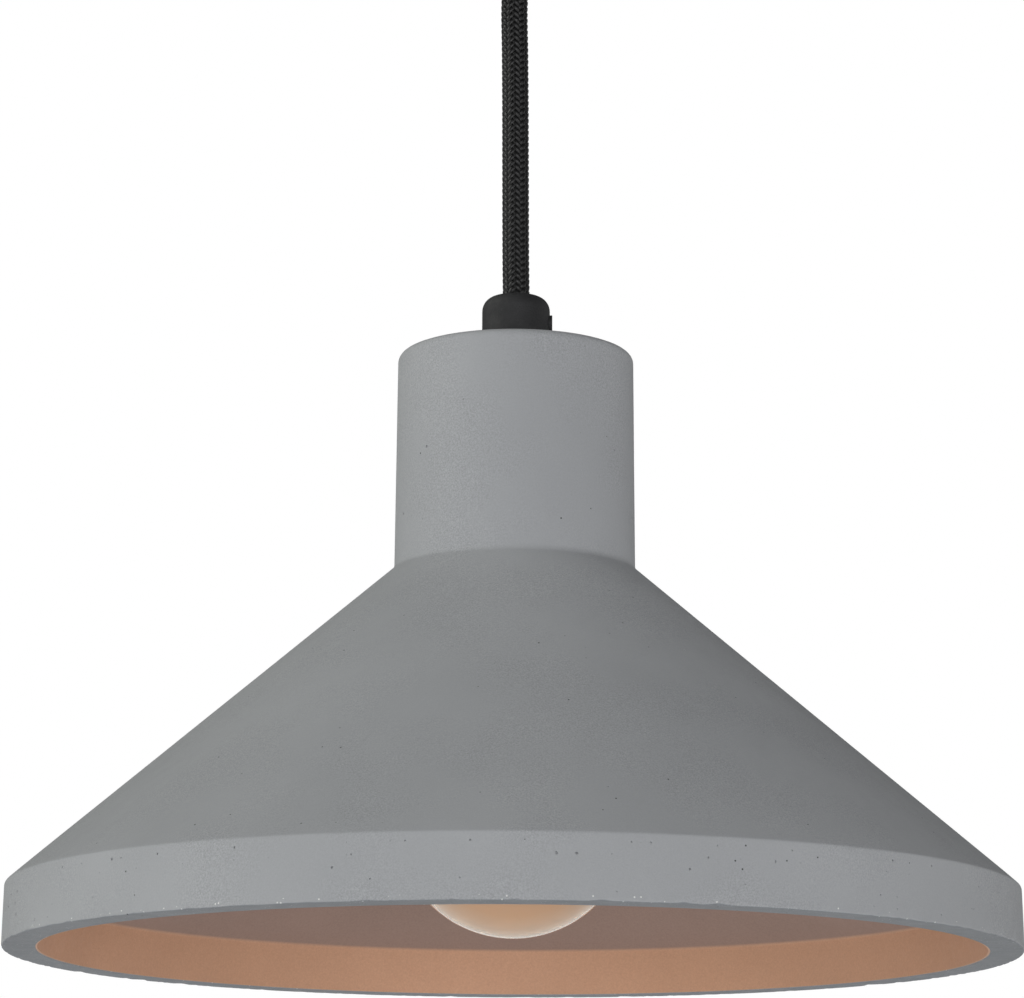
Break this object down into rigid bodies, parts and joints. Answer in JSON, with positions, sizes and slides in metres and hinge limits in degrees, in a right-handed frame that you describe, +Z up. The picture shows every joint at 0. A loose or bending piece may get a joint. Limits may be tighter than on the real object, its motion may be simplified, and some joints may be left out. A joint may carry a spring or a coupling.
{
  "type": "pendant ceiling light",
  "caption": "Pendant light: cast concrete cone shade with a tall neck and copper-painted inside, hung on a braided cord from a round canopy, with a screw-in bulb.",
  "frame": {"origin": "on the ceiling plane, at the middle of the bracket's two ceiling slots, on the lamp's axis", "axes": "+Z up, along the hanging cord; +X along the bracket's two slots and towards the cord grips' set screws; the viewer looks along +Y"},
  "size_m": [0.2499, 0.25, 0.305],
  "materials": {
    "bracket_steel": "zinc plated",
    "black_metal": "satin black powder coat",
    "zinc_steel": "zinc plated",
    "brass": "plain",
    "black_grip_plastic": "fine-textured satin black",
    "holder_plastic": "moulded black",
    "white_plastic": "moulded",
    "white_ceramic": "unglazed",
    "concrete": "smooth cast concrete with small pores",
    "copper_coat": "matt copper paint",
    "black_rubber": "moulded",
    "black_braid": "braided textile sleeve",
    "brown_insulation": "smooth",
    "blue_insulation": "smooth",
    "solder": "solder",
    "cap_metal": "nickel-washed brass",
    "black_glass": "fused dark glass",
    "bulb_glass": "clear, faint amber tint",
    "filament": "phosphor-coated light stick",
    "filament_wire": "bare wire",
    "circuit_board": "circuit board"
  },
  "bodies": {
    "bracket": {"ceiling_bracket": "bracket_steel", "canopy_screws": "black_metal", "earth_screw": "brass", "earth_washer": "zinc_steel"},
    "canopy": {"canopy_cup": "black_metal", "canopy_grip": "black_grip_plastic", "canopy_grip_screw": "black_grip_plastic", "canopy_nipple": "zinc_steel", "canopy_washer": "zinc_steel", "canopy_nut": "zinc_steel", "terminal_block": "white_plastic", "terminal_sleeves": "brass", "terminal_screws": "zinc_steel", "block_screw": "zinc_steel", "cord_upper": "black_braid", "supply_core_live": "brown_insulation", "supply_core_neutral": "blue_insulation"},
    "cord_bend": {"cord_bend": "black_braid"},
    "cord": {"cord": "black_braid"},
    "head": {"lamp_grip": "black_grip_plastic", "lamp_grip_screw": "black_grip_plastic", "lamp_nipple": "zinc_steel", "cord_lower": "black_braid", "lamp_core_live": "brown_insulation", "lamp_core_neutral": "blue_insulation", "shade": "concrete", "shade_lining": "copper_coat", "rubber_washer": "black_rubber", "steel_washer": "zinc_steel", "holder_cap": "holder_plastic", "holder_skirt": "holder_plastic", "holder_insert": "white_ceramic", "centre_contact": "brass", "side_contact": "brass", "contact_screws": "zinc_steel", "screw_shell": "brass"},
    "bulb_tip": {"bulb_tip": "solder"},
    "bulb": {"bulb_cap": "cap_metal", "bulb_insulator": "black_glass", "bulb_glass": "bulb_glass", "bulb_stem": "bulb_glass", "bulb_filaments": "filament", "filament_wires": "filament_wire", "bulb_driver": "circuit_board"}
  },
  "joints": [
    {"name": "canopy_lower", "type": "slide", "parent": "bracket", "child": "canopy", "axis": [0, 0, -1], "range_m": [0, 0.06]},
    {"name": "swing_fore", "type": "hinge", "parent": "canopy", "child": "cord_bend", "pos_m": [0, 0, -0.043], "axis": [1, 0, 0], "range_deg": [-15, 15]},
    {"name": "swing_side", "type": "hinge", "parent": "cord_bend", "child": "cord", "pos_m": [0, 0, -0.043], "axis": [0, 1, 0], "range_deg": [-15, 15]},
    {"name": "head_twist", "type": "hinge", "parent": "cord", "child": "head", "pos_m": [0, 0, -0.1375], "axis": [0, 0, 1], "range_deg": [-90, 90], "stiffness_Nm_per_rad": 0.003},
    {"name": "bulb_travel", "type": "slide", "parent": "head", "child": "bulb_tip", "axis": [0, 0, -1], "range_m": [0, 0.0218]},
    {"name": "bulb_turn", "type": "hinge", "parent": "bulb_tip", "child": "bulb", "pos_m": [0, 0, -0.2], "axis": [0, 0, -1], "range_deg": [0, 2160]}
  ],
  "couplings": [
    {"joint": "bulb_travel", "follows": "bulb_turn", "m_per_rad": 0.00057757}
  ]
}
